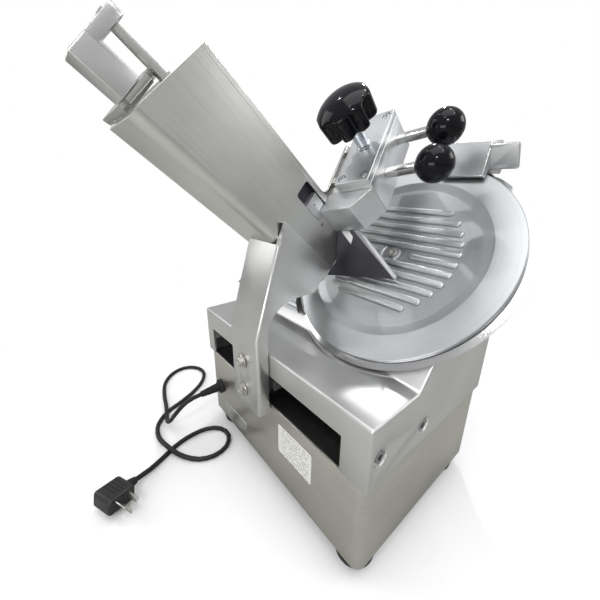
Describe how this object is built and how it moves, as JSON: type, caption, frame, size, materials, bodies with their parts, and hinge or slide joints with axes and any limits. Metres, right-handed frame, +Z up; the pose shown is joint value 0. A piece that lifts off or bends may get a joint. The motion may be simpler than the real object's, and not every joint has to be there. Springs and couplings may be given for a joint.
{
  "type": "automatic meat slicer",
  "caption": "Electric slicer for frozen meat rolls: slanted round blade under a ribbed cover, powered chute carriage with pusher and side fence, gauge plate and steel base.",
  "frame": {"origin": "on the floor under the middle of the machine's footprint, without its cord", "axes": "+Z up, +X to the right along the front wall, +Y to the back"},
  "size_m": [0.5729, 0.4954, 0.5333],
  "materials": {
    "brushed_steel": "brushed",
    "painted_alloy": "satin, fine texture",
    "cover_alloy": "satin",
    "polished_steel": "polished",
    "dark_steel": "dark satin",
    "black_plastic": "gloss",
    "black_rubber": "matt",
    "motor_grey": "satin",
    "stone_grey": "rough",
    "green_plastic": "gloss",
    "red_plastic": "gloss",
    "brass": "satin"
  },
  "bodies": {
    "machine": {"base_cabinet": "brushed_steel", "bottom_plate": "dark_steel", "drive_shelf": "dark_steel", "rubber_foot_front_left": "black_rubber", "rubber_foot_front_right": "black_rubber", "rubber_foot_rear_left": "black_rubber", "rubber_foot_rear_right": "black_rubber", "main_housing": "painted_alloy", "rear_cover": "brushed_steel", "front_slide_rail": "polished_steel", "rear_slide_rail": "polished_steel", "front_wall_bolt": "polished_steel", "rear_wall_bolt": "polished_steel", "drive_chain": "dark_steel", "gear_motor": "motor_grey", "bearing_housing": "dark_steel", "front_bearing": "polished_steel", "rear_bearing": "polished_steel", "motor_bracket": "dark_steel", "blade_motor": "motor_grey", "drive_belt": "black_rubber", "blade_cover": "cover_alloy", "cover_stud": "polished_steel", "gauge_guide": "dark_steel", "switch_plate": "black_plastic", "sharpener_bracket": "dark_steel", "cable_gland": "black_rubber", "power_cord": "black_rubber", "mains_plug": "black_rubber"},
    "blade_set": {"blade": "polished_steel", "blade_spindle": "polished_steel", "spindle_pulley": "cover_alloy"},
    "motor_pulley_body": {"motor_pulley": "cover_alloy"},
    "carriage": {"carriage_arm": "painted_alloy", "slider_block": "dark_steel", "lower_arm_bolt": "polished_steel", "upper_arm_bolt": "polished_steel", "meat_chute": "brushed_steel", "guide_rod": "polished_steel", "clamp_bracket": "painted_alloy", "clamp_block": "painted_alloy", "clamp_top_plate": "cover_alloy", "lock_shoe": "brass", "guard_plate": "dark_steel", "hem_block": "cover_alloy"},
    "drive_sprocket_body": {"drive_sprocket": "polished_steel"},
    "idler_sprocket_body": {"idler_sprocket": "polished_steel"},
    "pusher": {"pusher_block": "painted_alloy", "pusher_foot": "polished_steel"},
    "fence": {"press_plate": "polished_steel", "lower_ball_knob": "black_plastic", "upper_ball_knob": "black_plastic"},
    "star_knob_body": {"star_knob": "black_plastic"},
    "gauge": {"gauge_plate": "cover_alloy"},
    "thickness_dial_body": {"thickness_dial": "black_plastic"},
    "sharpener": {"sharpener_body": "painted_alloy"},
    "sharpening_stone_body": {"sharpening_stone": "stone_grey"},
    "deburring_stone_body": {"deburring_stone": "stone_grey"},
    "start_button_body": {"start_button": "green_plastic"},
    "stop_button_body": {"stop_button": "red_plastic"}
  },
  "joints": [
    {"name": "blade_turn", "type": "hinge", "parent": "machine", "child": "blade_set", "pos_m": [0.06, 0.08729, 0.32828], "axis": [0, -0.7604, 0.6494], "continuous": true},
    {"name": "motor_pulley_turn", "type": "hinge", "parent": "machine", "child": "motor_pulley_body", "pos_m": [0.06, 0.08471, 0.21871], "axis": [0, -0.7604, 0.6494], "continuous": true},
    {"name": "carriage_slide", "type": "slide", "parent": "machine", "child": "carriage", "axis": [1, 0, 0], "range_m": [-0.09, 0.09]},
    {"name": "drive_sprocket_turn", "type": "hinge", "parent": "machine", "child": "drive_sprocket_body", "pos_m": [0.1157, -0.0204, 0.149], "axis": [0, 0, 1], "range_deg": [-270, 270]},
    {"name": "idler_sprocket_turn", "type": "hinge", "parent": "machine", "child": "idler_sprocket_body", "pos_m": [-0.1343, -0.0204, 0.149], "axis": [0, 0, 1], "range_deg": [-270, 270]},
    {"name": "pusher_slide", "type": "slide", "parent": "carriage", "child": "pusher", "axis": [0, 0.7604, -0.6494], "range_m": [0, 0.245]},
    {"name": "fence_slide", "type": "slide", "parent": "carriage", "child": "fence", "axis": [0.9781, 0.135, 0.1581], "range_m": [-0.034, 0]},
    {"name": "star_knob_turn", "type": "hinge", "parent": "carriage", "child": "star_knob_body", "pos_m": [0.02393, 0.03032, 0.47993], "axis": [0, -0.7604, 0.6494], "range_deg": [0, 360]},
    {"name": "gauge_slide", "type": "slide", "parent": "machine", "child": "gauge", "axis": [0, -0.7604, 0.6494], "range_m": [-0.006, 0]},
    {"name": "dial_turn", "type": "hinge", "parent": "machine", "child": "thickness_dial_body", "pos_m": [-0.1813, 0.1246, 0.215], "axis": [1, 0, 0], "range_deg": [-5, 305]},
    {"name": "sharpener_lift", "type": "slide", "parent": "machine", "child": "sharpener", "axis": [0, -0.7604, 0.6494], "range_m": [0, 0.018]},
    {"name": "sharpening_stone_turn", "type": "hinge", "parent": "sharpener", "child": "sharpening_stone_body", "pos_m": [0.089, 0.18609, 0.44905], "axis": [0, -0.7604, 0.6494], "continuous": true},
    {"name": "deburring_stone_turn", "type": "hinge", "parent": "sharpener", "child": "deburring_stone_body", "pos_m": [0.111, 0.18609, 0.44905], "axis": [0, -0.7604, 0.6494], "continuous": true},
    {"name": "start_button_press", "type": "slide", "parent": "machine", "child": "start_button_body", "axis": [1, 0, 0], "range_m": [0, 0.002], "stiffness_N_per_m": 300, "springref_m": -0.002},
    {"name": "stop_button_press", "type": "slide", "parent": "machine", "child": "stop_button_body", "axis": [1, 0, 0], "range_m": [0, 0.002], "stiffness_N_per_m": 300, "springref_m": -0.002}
  ],
  "couplings": [
    {"joint": "motor_pulley_turn", "follows": "blade_turn", "ratio": 2.672},
    {"joint": "drive_sprocket_turn", "follows": "carriage_slide", "rad_per_m": -50.761},
    {"joint": "idler_sprocket_turn", "follows": "carriage_slide", "rad_per_m": -50.761},
    {"joint": "dial_turn", "follows": "gauge_slide", "rad_per_m": -872.66}
  ]
}
